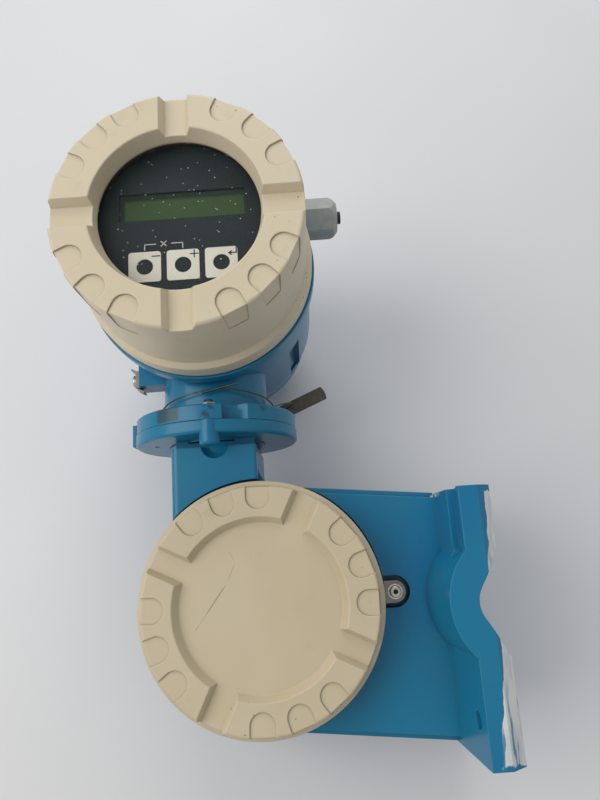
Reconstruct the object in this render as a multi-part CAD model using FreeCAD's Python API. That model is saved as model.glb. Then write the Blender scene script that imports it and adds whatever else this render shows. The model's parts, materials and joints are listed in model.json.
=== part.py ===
import FreeCAD, Part
import os
import math
from FreeCAD import Vector

# Remote transmitter of an electromagnetic flow meter, with its wall-mounted connection housing.
# Millimetres. +Z up, display looks along -Y, wall on the +X side.
# Shapes are drawn about the neck axis at the parting face, then moved so that the
# centre of the wall bolt pattern is the origin.

# ---- wall plate and bolt pattern -------------------------------------------------
WALL_X = 153.4
PLATE_TOP = -48.5
PLATE_BOTTOM = -186.0
PLATE_HALF_Y = 66.3
PLATE_INNER_FRONT = 135.2
PLATE_INNER_MID = 129.4
PAD_CHAMFER_X = 8.0
PAD_CHAMFER_Y = 6.0
HOLE_R = 4.3
HOLE_PITCH_Y = 108.0
HOLE_PITCH_Z = 88.0
HOLE_MID_Z = -121.5
SPOT_R = 8.5
SPOT_DEPTH = 3.2
NOTCH_MID_Z = -108.3
NOTCH_VERTEX_X = 136.9
NOTCH_SLOPE = 0.6
NOTCH_ROOT_R = 14.0
BULGE_R = 37.0
BULGE_FRONT_X = 161.2
BULGE_MID_X = 155.4

# ---- screw covers ------------------------------------------------------------------
FACE_R = 64.8
RING_STEP = 3.2
RING_R = FACE_R + RING_STEP
RING_H = 16.4
RING_CHAMFER = 3.2
DISPLAY_COVER_H = 73.5
BLANK_COVER_H = 53.1
BLANK_CROWN_H = 7.0
BLANK_CHAMFER = 1.6
SEG_OUT = 5.2
NOTCH_FLOOR_W = 11.4
NOTCH_TOP_W = 16.0
SCALLOP_W = 13.6
SCALLOP_REACH = 13.2
SCALLOP_SINK = 0.9
SCALLOP_LEN = 17.5
SCALLOP_BITE_TOP = 1.2
SCALLOP_BITE_LOW = 0.5
SCALLOP_ANGLES = (25.0, 44.5, 64.0)
THREAD_INSET = 6.4
THREAD_R = FACE_R - THREAD_INSET
SKIRT_WALL = 3.6
SKIRT_L = 14.5
THREAD_RELIEF = 2.0
SEAT_GAP = 0.6
THREAD_GAP = 0.35
DISC_LAND = 20.2
SEG_LAND = 17.2

# ---- display cover window -------------------------------------------------------------
GLASS_SHOULDER = 4.6
GLASS_R = THREAD_R - SKIRT_WALL - GLASS_SHOULDER
GLASS_LAP = 8.1
WINDOW_R = GLASS_R - GLASS_LAP
WINDOW_FLARE = 2.7
WINDOW_EDGE_R = WINDOW_R + WINDOW_FLARE
WINDOW_SINK = 8.8
LIP_T = 1.2
GLASS_T = 3.5
GLASS_GAP = 0.35
SNAP_W = 3.2
SNAP_IN_R = GLASS_R - SNAP_W
SNAP_T = 2.6

# ---- transmitter housing -----------------------------------------------------------
SEAT_Y = -48.0
RIM_PROUD = 1.4
RIM_R = RING_R + RIM_PROUD
RIM_L = 10.0
RIM_STEP = 3.2
BODY_R = RIM_R - RIM_STEP
NECK_RISE = 28.6
AXIS_Z = BODY_R + NECK_RISE
BODY_REAR_Y = 60.0
REAR_SLOT_Y = -4.0
REAR_SLOT_W = 11.4
REAR_SLOT_DEPTH = 5.0
REAR_SLOT_DEG = 36.0
PARTITION_Y = -30.0
PARTITION_T = 4.0
CAVITY_INSET = 1.4
CAVITY_R = THREAD_R - CAVITY_INSET
NECK_R = 33.2
NECK_BORE = 23.5
HUB_LAND = 8.3
HUB_R = NECK_R + HUB_LAND
HUB_T = 6.0
SPIGOT_R = 30.0
SPIGOT_L = 8.5

# ---- rear cover ------------------------------------------------------------------------
REAR_TUCK = 3.2
REAR_RING_R = BODY_R - REAR_TUCK
REAR_RING_STEP = 4.6
REAR_FACE_R = REAR_RING_R - REAR_RING_STEP
REAR_COVER_H = 26.0
REAR_RING_H = 12.0
REAR_THREAD_INSET = 5.6
REAR_THREAD_R = REAR_FACE_R - REAR_THREAD_INSET
REAR_CAVITY_INSET = 0.9

# ---- cable entry and gland -----------------------------------------------------------------
ENTRY_Y = -8.0
ENTRY_Z = 50.6
ENTRY_REACH = 17.3
ENTRY_FACE_X = math.sqrt(BODY_R ** 2 - ENTRY_Z ** 2) + ENTRY_REACH
ENTRY_BOSS_R = 15.2
ENTRY_BORE_R = 10.0
GLAND_AF = 24.0
GLAND_CORNER_R = GLAND_AF / math.sqrt(3.0) + 0.25
GLAND_SPOUT_R = GLAND_AF / 2.0 - 2.2
GLAND_BODY_HEX_L = 6.0
GLAND_NUT_L = 22.0
PLUG_R = 4.2
PLUG_PROUD = 2.6

# ---- clamp ring and lower flange ---------------------------------------------------------
LOCK_R = 50.9
FLANGE_LAND = 0.5
LOCK_T = 9.6
FLANGE_R = LOCK_R + FLANGE_LAND
FLANGE_T = 7.6
LOCK_SCREW_AT_R = 46.5
LOCK_SCREW_DEG = -87.8
LOCK_SWING = 12.0
LOCK_SCREW_HEAD_R = 4.1
BOSS_R = 6.0
BOSS_L = 14.4

# ---- connection housing ------------------------------------------------------------------------
CONN_X = 26.3
COVER_DROP = 36.1
CONN_Z = -(RING_R + COVER_DROP)
CONN_SEAT_Y = 1.7
CONN_REAR_Y = 52.0
CONN_PROUD = 1.5
CONN_R = RING_R + CONN_PROUD
COVER_ROOM = 2.5
CONN_RECESS_R = RING_R + COVER_ROOM
CONN_CAVITY_INSET = 0.9
CONN_CAVITY_R = THREAD_R - CONN_CAVITY_INSET
BOX_X0 = -24.2
BOX_X1 = 26.9
BOX_Y = 32.6
LEDGE_Z = -12.6
LEDGE_Y = 27.0
PANEL_Y = 20.4
BAND_Y = 15.5
BAND_STEP = 3.2
CLAW_RISE = 1.1
CLAW_Z = CONN_Z + CLAW_RISE
CLAW_REACH = 8.1
CLAW_END_X = CONN_X + RING_R + CLAW_REACH
CLAW_R = 6.2
CLAW_POCKET_R = 9.0
CLAW_SCREW_R = 2.0
CABLE_ENTRY_X = (8.0, 44.6)
CABLE_ENTRY_Y = 28.0
CABLE_BOSS_R = 14.0
CABLE_BORE_R = 10.0
CABLE_MOUTH_DROP = 4.4
CABLE_MOUTH_Z = CONN_Z - CONN_R - CABLE_MOUTH_DROP

# ---- ground terminal ------------------------------------------------------------------------------
GROUND_X = -47.5
GROUND_Y = -5.7
GROUND_DROP = 10.5
GROUND_Z = AXIS_Z - math.sqrt(BODY_R ** 2 - GROUND_X ** 2) - GROUND_DROP
GROUND_HALF = 5.6

# ---- general clearances --------------------------------------------------------------------------
FIT = 0.35
HOLE_FIT = 0.3

X = Vector(1, 0, 0)
Y = Vector(0, 1, 0)
Z = Vector(0, 0, 1)
O = Vector(0, 0, 0)


def export(name, shape):
    moved = shape.copy()
    moved.translate(Vector(-WALL_X, 0, -HOLE_MID_Z))
    moved.exportStep("parts/" + name + ".step")


def cyl(r, h, base, axis):
    return Part.makeCylinder(r, h, base, axis)


def box(x0, x1, y0, y1, z0, z1):
    return Part.makeBox(x1 - x0, y1 - y0, z1 - z0, Vector(x0, y0, z0))


def rounded_edges(points):
    # points (u, v, corner radius) in the XZ plane, closed
    edges = []
    starts = []
    ends = []
    arcs = []
    count = len(points)
    for i in range(count):
        u, v, rad = points[i]
        cur = Vector(u, 0, v)
        if rad <= 0:
            starts.append(cur)
            ends.append(cur)
            arcs.append(None)
            continue
        pu, pv, _ = points[i - 1]
        nu, nv, _ = points[(i + 1) % count]
        d1 = Vector(pu, 0, pv).sub(cur)
        d2 = Vector(nu, 0, nv).sub(cur)
        d1.normalize()
        d2.normalize()
        ang = math.acos(max(-1.0, min(1.0, d1.dot(d2))))
        t = rad / math.tan(ang / 2.0)
        a = cur.add(Vector(d1).multiply(t))
        b = cur.add(Vector(d2).multiply(t))
        bis = d1.add(d2)
        bis.normalize()
        mid = cur.add(bis.multiply(rad / math.sin(ang / 2.0) - rad))
        starts.append(a)
        ends.append(b)
        arcs.append(Part.Arc(a, mid, b).toShape())
    for i in range(count):
        if arcs[i] is not None:
            edges.append(arcs[i])
        j = (i + 1) % count
        if ends[i].distanceToPoint(starts[j]) > 1e-5:
            edges.append(Part.makeLine(ends[i], starts[j]))
    return edges


def outline(points):
    return Part.Face(Part.Wire(rounded_edges(points)))


def turned(points):
    return outline(points).revolve(O, Z, 360)


def prism_y(points, y0, y1):
    face = outline(points)
    face.translate(Vector(0, y0, 0))
    return face.extrude(Vector(0, y1 - y0, 0))


def facing_front(shape, x, y, z):
    # local +Z becomes world -Y
    s = shape.copy()
    s.rotate(O, X, 90)
    s.translate(Vector(x, y, z))
    return s


def facing_rear(shape, x, y, z):
    # local +Z becomes world +Y
    s = shape.copy()
    s.rotate(O, X, -90)
    s.translate(Vector(x, y, z))
    return s


def facing_right(shape, x, y, z):
    # local +Z becomes world +X
    s = shape.copy()
    s.rotate(O, Y, 90)
    s.translate(Vector(x, y, z))
    return s


def facing_left(shape, x, y, z):
    s = shape.copy()
    s.rotate(O, Y, -90)
    s.translate(Vector(x, y, z))
    return s


def hex_prism(af, h, z0):
    r = af / math.sqrt(3.0)
    pts = []
    for i in range(7):
        a = math.radians(60 * i + 30)
        pts.append(Vector(r * math.cos(a), r * math.sin(a), z0))
    return Part.Face(Part.makePolygon(pts)).extrude(Vector(0, 0, h))


def disc_ring(r_out, r_in, h, z0):
    return cyl(r_out, h, Vector(0, 0, z0), Z).cut(cyl(r_in, h + 2, Vector(0, 0, z0 - 1), Z))


def torus(major, minor, z):
    return Part.makeTorus(major, minor, Vector(0, 0, z), Z)


# ---- covers --------------------------------------------------------------------------------------
def notch_cutter(height, reach_in, reach_out, depth):
    half_floor = NOTCH_FLOOR_W / 2.0
    half_top = NOTCH_TOP_W / 2.0
    rise = (half_top - half_floor) / depth
    over = 2.0
    pts = [
        Vector(reach_in, -half_floor, height - depth),
        Vector(reach_in, half_floor, height - depth),
        Vector(reach_in, half_top + rise * over, height + over),
        Vector(reach_in, -half_top - rise * over, height + over),
        Vector(reach_in, -half_floor, height - depth),
    ]
    face = Part.Face(Part.makePolygon(pts))
    return face.extrude(Vector(reach_out - reach_in, 0, 0))


def scallop_cutter(height, face_r, length):
    half = SCALLOP_W / 2.0
    tip = face_r - SCALLOP_REACH
    centre = tip + half
    top = cyl(half, 3.0, Vector(centre, 0, height - SCALLOP_SINK), Z)
    slab = Part.makeBox(20, SCALLOP_W, 3.0, Vector(centre, -half, height - SCALLOP_SINK))
    hi = height + 1.0
    lo = height - length
    narrow = half - 1.2
    top_in = face_r - SCALLOP_BITE_TOP
    low_in = face_r - SCALLOP_BITE_LOW
    upper = [
        Vector(top_in, -half, hi), Vector(face_r + 8, -half, hi),
        Vector(face_r + 8, half, hi), Vector(top_in, half, hi), Vector(top_in, -half, hi),
    ]
    lower = [
        Vector(low_in, -narrow, lo), Vector(face_r + 8, -narrow, lo),
        Vector(face_r + 8, narrow, lo), Vector(low_in, narrow, lo), Vector(low_in, -narrow, lo),
    ]
    side = Part.makeLoft([Part.makePolygon(upper), Part.makePolygon(lower)], True, True)
    return top.fuse(slab).fuse(side)


def crowned(blank, height, face_r, turn, reach_in, length):
    tools = []
    for quarter in range(4):
        base = turn + 90 * quarter
        notch = notch_cutter(height, reach_in, face_r + 8, SEG_OUT)
        notch.rotate(O, Z, base)
        tools.append(notch)
        for ang in SCALLOP_ANGLES:
            s = scallop_cutter(height, face_r, length)
            s.rotate(O, Z, base + ang)
            tools.append(s)
    return blank.cut(tools[0].multiFuse(tools[1:]))


def outer_run(face_r, ring_r, ring_h, height, chamfer):
    return [
        (ring_r, 0, 0.7),
        (ring_r, ring_h - chamfer, 0.8),
        (face_r, ring_h, 0.8),
        (face_r, height, 1.8),
    ]


def make_display_cover():
    h = DISPLAY_COVER_H
    skirt_in = THREAD_R - SKIRT_WALL
    lip = h - WINDOW_SINK - LIP_T
    snap = lip - GLASS_T - SNAP_T - 0.6
    pts = [(skirt_in, -SKIRT_L, 0), (THREAD_R, -SKIRT_L, 1.0), (THREAD_R, 0, 0)]
    pts += outer_run(FACE_R, RING_R, RING_H, h, RING_CHAMFER)
    pts += [
        (WINDOW_EDGE_R, h, 0.8),
        (WINDOW_R, h - WINDOW_SINK, 0),
        (WINDOW_R, lip, 0),
        (GLASS_R + GLASS_GAP, lip, 0),
        (GLASS_R + GLASS_GAP, snap, 0),
        (skirt_in, snap - 4.0, 2.0),
    ]
    blank = turned(pts)
    return crowned(blank, h, FACE_R, 0.0, WINDOW_R - 6, SCALLOP_LEN)


def make_blank_cover(height, face_r, ring_r, ring_h, thread_r, turn):
    skirt_in = thread_r - SKIRT_WALL
    floor = height - SEG_OUT
    disc_r = face_r - DISC_LAND
    pts = [(0, floor - 4.6, 0), (skirt_in, floor - 4.6, 4.0), (skirt_in, -SKIRT_L, 0)]
    pts += [(thread_r, -SKIRT_L, 1.0), (thread_r, 0, 0)]
    pts += outer_run(face_r, ring_r, ring_h, height, BLANK_CHAMFER)
    pts += [(face_r - SEG_LAND, height, 0.7), (disc_r, floor, 0.7), (0, floor, 0)]
    blank = turned(pts)
    length = min(SCALLOP_LEN, height - ring_h - 0.8)
    return crowned(blank, height, face_r, turn, disc_r - 3, length)


def cover_ring_seal(thread_r):
    return torus(thread_r + 1.65, 1.25, -1.75)


# ---- transmitter housing ------------------------------------------------------------------------------
def make_transmitter_housing():
    front = -SEAT_Y - SEAT_GAP
    rear = -BODY_REAR_Y
    shell = turned([
        (0, rear, 0),
        (BODY_R - 2.0, rear, 1.5),
        (BODY_R, rear + 16, 0),
        (BODY_R, front - RIM_L - 3.0, 2.0),
        (RIM_R, front - RIM_L, 1.5),
        (RIM_R, front, 0.8),
        (0, front, 0),
    ])
    shell = facing_front(shell, 0, 0, AXIS_Z)
    neck = cyl(NECK_R, AXIS_Z - 40.0, O, Z)
    hub = cyl(HUB_R, HUB_T, O, Z)
    spigot = cyl(SPIGOT_R, SPIGOT_L, Vector(0, 0, -SPIGOT_L), Z)
    body = shell.fuse([neck, hub, spigot])

    boss = facing_right(turned([
        (0, 0, 0), (ENTRY_BOSS_R, 0, 0), (ENTRY_BOSS_R, ENTRY_FACE_X - 10, 1.2), (0, ENTRY_FACE_X - 10, 0),
    ]), 10, ENTRY_Y, AXIS_Z + ENTRY_Z)
    web = box(10, ENTRY_FACE_X - 1.5, ENTRY_Y - ENTRY_BOSS_R, ENTRY_Y + ENTRY_BOSS_R,
              AXIS_Z + 20, AXIS_Z + ENTRY_Z)
    ground = box(GROUND_X, -20, -14.5, 3.0, GROUND_Z - GROUND_HALF, GROUND_Z + 22)
    body = body.fuse([boss, web, ground])

    # threaded seats and chambers
    bore_r = THREAD_R + THREAD_GAP
    front_y = SEAT_Y + SEAT_GAP
    body = body.cut([
        cyl(bore_r, SKIRT_L + THREAD_RELIEF, Vector(0, front_y - 1, AXIS_Z), Y),
        cyl(THREAD_R + 3.3, 5.2, Vector(0, front_y - 1, AXIS_Z), Y),
        cyl(CAVITY_R, PARTITION_Y - front_y, Vector(0, front_y, AXIS_Z), Y),
    ])
    rear_bore = REAR_THREAD_R + THREAD_GAP
    rear_floor = PARTITION_Y + PARTITION_T
    body = body.cut([
        cyl(rear_bore, SKIRT_L + THREAD_RELIEF + 1, Vector(0, BODY_REAR_Y - SKIRT_L - THREAD_RELIEF, AXIS_Z), Y),
        cyl(REAR_THREAD_R + 3.3, 5.2, Vector(0, BODY_REAR_Y - 4.2, AXIS_Z), Y),
        cyl(REAR_THREAD_R - REAR_CAVITY_INSET, BODY_REAR_Y - 14 - rear_floor, Vector(0, rear_floor, AXIS_Z), Y),
        cyl(NECK_BORE, 60, Vector(0, 0, -SPIGOT_L - 1), Z),
        cyl(4.5, 8, Vector(22, PARTITION_Y - 1, AXIS_Z - 30), Y),
    ])
    # cable entry bore, ground screw hole, slot in the rear of the wall
    slot = box(BODY_R - REAR_SLOT_DEPTH, BODY_R + 8, REAR_SLOT_Y, BODY_REAR_Y + 1,
               -REAR_SLOT_W / 2, REAR_SLOT_W / 2)
    slot.rotate(O, Y, REAR_SLOT_DEG)
    slot.translate(Vector(0, 0, AXIS_Z))
    body = body.cut([
        slot,
        cyl(ENTRY_BORE_R, 46, Vector(ENTRY_FACE_X - 45, ENTRY_Y, AXIS_Z + ENTRY_Z), X),
        cyl(2.5 + HOLE_FIT, 16, Vector(GROUND_X - 0.5, GROUND_Y, GROUND_Z), X),
    ])
    groove = disc_ring(SPIGOT_R + 1, SPIGOT_R - 2.0, 2.6, -5.3)
    return body.cut(groove)


def make_neck_seal():
    return torus(SPIGOT_R - 0.85, 0.8, -4.0)


def make_lock_ring():
    ring = turned([
        (NECK_R + FIT, HUB_T + 0.1, 0),
        (HUB_R + FIT, HUB_T + 0.1, 0),
        (HUB_R + FIT, 0, 0),
        (LOCK_R, 0, 0.5),
        (LOCK_R, LOCK_T, 0.9),
        (NECK_R + FIT, LOCK_T, 0.6),
    ])
    # step in the rim beside the locking screw, with a shallow run-out on its right
    a0 = math.radians(-79.0)
    a1 = math.radians(-66.5)
    a2 = math.radians(-59.5)
    r_in = 45.4
    r_out = LOCK_R + 3
    pts = [
        Vector(r_out * math.cos(a0), r_out * math.sin(a0), -1),
        Vector(r_in * math.cos(a0), r_in * math.sin(a0), -1),
        Vector(r_in * math.cos(a1), r_in * math.sin(a1), -1),
        Vector(r_out * math.cos(a2), r_out * math.sin(a2), -1),
        Vector(r_out * math.cos(a0), r_out * math.sin(a0), -1),
    ]
    step = Part.Face(Part.makePolygon(pts)).extrude(Vector(0, 0, LOCK_T + 2))
    cuts = [step]
    half = 2.4 + 0.7
    for k in range(2):
        start = math.radians(LOCK_SCREW_DEG + 180 * k)
        steps = 6
        for i in range(steps + 1):
            a = start - math.radians(LOCK_SWING) * i / steps
            at = Vector(LOCK_SCREW_AT_R * math.cos(a), LOCK_SCREW_AT_R * math.sin(a), -1)
            cuts.append(cyl(half, LOCK_T + 2, at, Z))
    return ring.cut(cuts[0].multiFuse(cuts[1:]))


def make_lock_screws():
    screws = []
    head = turned([
        (0, LOCK_T, 0), (LOCK_SCREW_HEAD_R, LOCK_T, 0.2), (LOCK_SCREW_HEAD_R - 0.3, LOCK_T + 1.0, 0.3),
        (2.2, LOCK_T + 3.0, 0.8), (0, LOCK_T + 3.0, 0),
    ])
    head = head.cut(hex_prism(3.0, 3, LOCK_T + 1.4))
    one = head.fuse(cyl(2.4, LOCK_T + 10, Vector(0, 0, -10), Z))
    for k in range(2):
        a = math.radians(LOCK_SCREW_DEG + 180 * k)
        s = one.copy()
        s.translate(Vector(LOCK_SCREW_AT_R * math.cos(a), LOCK_SCREW_AT_R * math.sin(a), 0))
        screws.append(s)
    return Part.makeCompound(screws)


# ---- connection housing ----------------------------------------------------------------------------------
def make_wall_plate():
    pts = [
        Vector(PLATE_INNER_FRONT, -PLATE_HALF_Y, PLATE_BOTTOM),
        Vector(WALL_X - PAD_CHAMFER_X, -PLATE_HALF_Y, PLATE_BOTTOM),
        Vector(WALL_X, -PLATE_HALF_Y + PAD_CHAMFER_Y, PLATE_BOTTOM),
        Vector(WALL_X, PLATE_HALF_Y - PAD_CHAMFER_Y, PLATE_BOTTOM),
        Vector(WALL_X - PAD_CHAMFER_X, PLATE_HALF_Y, PLATE_BOTTOM),
        Vector(PLATE_INNER_FRONT, PLATE_HALF_Y, PLATE_BOTTOM),
        Vector(PLATE_INNER_MID, 0, PLATE_BOTTOM),
        Vector(PLATE_INNER_FRONT, -PLATE_HALF_Y, PLATE_BOTTOM),
    ]
    height = PLATE_TOP - PLATE_BOTTOM
    slab = Part.Face(Part.makePolygon(pts)).extrude(Vector(0, 0, height))
    verticals = []
    bulge = None
    for side in (-1, 1):
        circle = Part.makeCircle(BULGE_R, Vector(BULGE_FRONT_X, side * PLATE_HALF_Y, NOTCH_MID_Z), Y)
        face = Part.Face(Part.Wire(circle))
        run = face.extrude(Vector(BULGE_MID_X - BULGE_FRONT_X, -side * PLATE_HALF_Y, 0))
        bulge = run if bulge is None else bulge.fuse(run)
    keep = box(100, WALL_X - PAD_CHAMFER_X, -80, 80, PLATE_BOTTOM, PLATE_TOP)
    plate = slab.fuse(bulge.common(keep))
    notch = prism_y([
        (NOTCH_VERTEX_X, NOTCH_MID_Z, NOTCH_ROOT_R),
        (NOTCH_VERTEX_X + 30, NOTCH_MID_Z + 30 / NOTCH_SLOPE, 0),
        (NOTCH_VERTEX_X + 30, NOTCH_MID_Z - 30 / NOTCH_SLOPE, 0),
    ], -90, 90)
    return plate.cut(notch)


def wall_hole_cuts():
    cuts = []
    for sy in (-1, 1):
        y = sy * HOLE_PITCH_Y / 2.0
        inner = PLATE_INNER_FRONT - (PLATE_HALF_Y - abs(y)) * 0.09
        for sz in (-1, 1):
            z = HOLE_MID_Z + sz * HOLE_PITCH_Z / 2.0
            cuts.append(cyl(HOLE_R, 40, Vector(WALL_X - 35, y, z), X))
            if sz > 0:
                cuts.append(cyl(SPOT_R, 20, Vector(inner + SPOT_DEPTH - 20, y, z), X))
                cuts.append(box(inner + SPOT_DEPTH - 20, inner + SPOT_DEPTH,
                                y - SPOT_R, y + SPOT_R, z, PLATE_TOP + 5))
    return cuts


def bracket_outline(inset):
    return [
        (34.0, -37.0 - inset, 0),
        (131.5, -47.6 - inset, 0),
        (131.5, -185.2 + inset, 0),
        (42.0, -175.6 + inset, 0),
    ]


def make_connection_housing():
    flange = turned([
        (0, -FLANGE_T, 0), (FLANGE_R, -FLANGE_T, 2.2), (FLANGE_R, 0, 0.4), (0, 0, 0),
    ])
    a = math.radians(LOCK_SCREW_DEG)
    bosses = []
    for k in range(2):
        ang = a + math.pi * k
        at = Vector(LOCK_SCREW_AT_R * math.cos(ang), LOCK_SCREW_AT_R * math.sin(ang), 0)
        boss = turned([(0, -BOSS_L, 0), (BOSS_R, -BOSS_L, 2.0), (BOSS_R, 0, 0), (0, 0, 0)])
        boss.translate(at)
        bosses.append(boss)
    lug = box(-54.0, -46.0, -5.0, 5.0, -5.0, 9.0)
    lug = lug.cut(cyl(FLANGE_R, 12, Vector(0, 0, 0), Z))
    upper = box(BOX_X0 + 2.5, BOX_X1 - 1.5, -LEDGE_Y, BOX_Y, LEDGE_Z - 2, -FLANGE_T + 1)
    lower = prism_box(BOX_X0, BOX_X1, -BOX_Y, BOX_Y, -92.0, LEDGE_Z)
    scoop = cyl(8.6, 10, Vector(2.4, -46.5 + 12.0, LEDGE_Z + 1.1), Z)
    scoop = scoop.fuse(Part.makeSphere(8.6, Vector(2.4, -46.5 + 12.0, LEDGE_Z + 1.1)))
    scoop = scoop.common(box(-20, 30, -60, -LEDGE_Y, -60, 0))
    scoop = scoop.cut(bosses[0])
    lower = lower.cut(scoop)
    fillet = box(BOX_X1 - 1, BOX_X1 + 13, -PANEL_Y, 30, -52.0, -25.0)
    fillet = fillet.cut(cyl(13.0, 80, Vector(BOX_X1 + 13, -40, -25.0), Y))
    round_wall = facing_rear(turned([
        (0, 0, 0), (CONN_R, 0, 0.8), (CONN_R, CONN_REAR_Y - CONN_SEAT_Y - SEAT_GAP, 5.0),
        (0, CONN_REAR_Y - CONN_SEAT_Y - SEAT_GAP, 0),
    ]), CONN_X, CONN_SEAT_Y + SEAT_GAP, CONN_Z)
    band = prism_y(bracket_outline(0.0), -BAND_Y, 34.0)
    panel = prism_y(bracket_outline(BAND_STEP), -PANEL_Y, 30.0)
    entries = []
    for ex in CABLE_ENTRY_X:
        entries.append(cyl(CABLE_BOSS_R, 30, Vector(ex, CABLE_ENTRY_Y, CABLE_MOUTH_Z), Z))
    web = box(CABLE_ENTRY_X[0], CABLE_ENTRY_X[1], 16.0, 40.0, CABLE_MOUTH_Z + 2.0, CABLE_MOUTH_Z + 28.0)
    body = flange.fuse([upper, lower, fillet, round_wall, band, panel, web, lug, make_wall_plate()])
    body = body.fuse(bosses + entries)

    # room for the cover in front of its seat
    recess = cyl(CONN_RECESS_R, 80, Vector(CONN_X, CONN_SEAT_Y + SEAT_GAP - 80, CONN_Z), Y)
    recess = recess.cut(box(-60, 60, -80, 10, -30, 20))
    body = body.cut(recess)
    # claw pocket
    pocket = cyl(CLAW_POCKET_R, 20, Vector(CLAW_END_X, -PANEL_Y - 12, CLAW_Z), Y)
    pocket = pocket.fuse(box(CONN_X + RING_R - 9.3, CLAW_END_X, -PANEL_Y - 12, -PANEL_Y + 8,
                             CLAW_Z - CLAW_POCKET_R, CLAW_Z + CLAW_POCKET_R))
    # chambers
    seat = CONN_SEAT_Y + SEAT_GAP
    body = body.cut([
        pocket,
        cyl(THREAD_R + THREAD_GAP, SKIRT_L + THREAD_RELIEF + 1, Vector(CONN_X, seat - 1, CONN_Z), Y),
        cyl(THREAD_R + 3.3, 5.2, Vector(CONN_X, seat - 1, CONN_Z), Y),
        cyl(CONN_CAVITY_R, CONN_REAR_Y - 5.5 - seat, Vector(CONN_X, seat, CONN_Z), Y),
        cyl(SPIGOT_R + HOLE_FIT, SPIGOT_L + 0.6, Vector(0, 0, -SPIGOT_L - 0.6), Z),
        box(-17, 20, -20, 22, -27.0, -SPIGOT_L),
        box(-15, 20, 8, 26, -62.0, -26.0),
        cyl(CLAW_SCREW_R + HOLE_FIT, 12, Vector(CLAW_END_X, -PANEL_Y + 7, CLAW_Z), Y),
    ])
    cuts = wall_hole_cuts()
    for k in range(2):
        ang = a + math.pi * k
        at = Vector(LOCK_SCREW_AT_R * math.cos(ang), LOCK_SCREW_AT_R * math.sin(ang), -11.0)
        cuts.append(cyl(2.4 + HOLE_FIT, 12, at, Z))
    for ex in CABLE_ENTRY_X:
        cuts.append(cyl(CABLE_BORE_R, 30, Vector(ex, CABLE_ENTRY_Y, CABLE_MOUTH_Z - 1.0), Z))
    cuts.append(cyl(1.6, 20, Vector(-36.0, -14.0, -10.0), Z))
    # open back of the bracket, with one rib
    cuts.append(prism_y([(96.0, -57.0, 3), (123.0, -60.0, 3), (116.0, -86.0, 3), (108.0, -92.0, 3)],
                        -PANEL_Y + 6, 60))
    cuts.append(prism_y([(108.0, -128.0, 3), (92.0, -166.0, 3), (123.0, -172.0, 3), (123.0, -142.0, 3)],
                        -PANEL_Y + 6, 60))
    return body.cut(cuts)


def prism_box(x0, x1, y0, y1, z0, z1):
    b = box(x0, x1, y0, y1, z0, z1)
    left = []
    right = []
    for e in b.Edges:
        v = e.Vertexes
        if abs(v[0].Z - v[1].Z) > 1:
            if v[0].X < (x0 + x1) / 2:
                left.append(e)
            else:
                right.append(e)
    b = b.makeFillet(4.0, left)
    right = []
    for e in b.Edges:
        v = e.Vertexes
        if len(v) == 2 and abs(v[0].Z - v[1].Z) > 1 and v[0].X > x1 - 0.1:
            right.append(e)
    return b.makeFillet(1.8, right)


def make_claw():
    y1 = -PANEL_Y + 1.4
    y0 = y1 - 3.0
    x0 = CONN_X + RING_R + 0.5
    plate = cyl(CLAW_R, 3.0, Vector(CLAW_END_X, y0, CLAW_Z), Y)
    plate = plate.fuse(box(x0, CLAW_END_X, y0, y1, CLAW_Z - CLAW_R, CLAW_Z + CLAW_R))
    foot = cyl(CLAW_R, 8.0, Vector(CLAW_END_X, y1 - 0.5, CLAW_Z), Y)
    floor_y = -PANEL_Y + 8.0
    foot = foot.common(box(CLAW_END_X + 4.2, 130, y1 - 0.5, floor_y, -150, -50))
    claw = plate.fuse(foot)
    lip = box(x0, x0 + 2.4, y1 - 0.5, floor_y - 0.4, CLAW_Z - CLAW_R + 1, CLAW_Z + CLAW_R - 1)
    claw = claw.fuse(lip)
    bend = [
        Vector(x0 - 0.2, y0 - 0.2, CLAW_Z - 20), Vector(x0 + 1.8, y0 - 0.2, CLAW_Z - 20),
        Vector(x0 - 0.2, y0 + 1.8, CLAW_Z - 20), Vector(x0 - 0.2, y0 - 0.2, CLAW_Z - 20),
    ]
    claw = claw.cut(Part.Face(Part.makePolygon(bend)).extrude(Vector(0, 0, 40)))
    return claw.cut(cyl(CLAW_SCREW_R + HOLE_FIT, 20, Vector(CLAW_END_X, y0 - 5, CLAW_Z), Y))


def make_claw_screw():
    head = turned([(0, 0, 0), (3.1, 0, 0.2), (3.1, 2.6, 0.4), (0, 2.6, 0)])
    head = head.cut(hex_prism(2.6, 3, 1.0))
    washer = disc_ring(4.3, 2.3, 0.8, -0.8).fuse(cyl(2.5, 0.8, Vector(0, 0, -0.8), Z))
    shank = cyl(CLAW_SCREW_R, 16.5, Vector(0, 0, -16.5), Z)
    top = -PANEL_Y + 1.4 - 3.0
    return facing_front(head.fuse([washer, shank]), CLAW_END_X, top - 0.8, CLAW_Z)


# ---- display and electronics -----------------------------------------------------------------------------
DISPLAY_CLEAR = 0.8
DISPLAY_LEVEL = DISPLAY_COVER_H - WINDOW_SINK - LIP_T - GLASS_T - SNAP_T - DISPLAY_CLEAR
DISPLAY_R = 46.0
LCD_W = 65.8
LCD_H = 15.2
LCD_UP = 10.2
KEY_SIDE = 16.8
KEY_PITCH = 19.8
KEY_DOWN = -24.3
KEY_EYE_R = 4.0


def at_display(shape):
    return facing_front(shape, 0, SEAT_Y, AXIS_Z)


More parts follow.
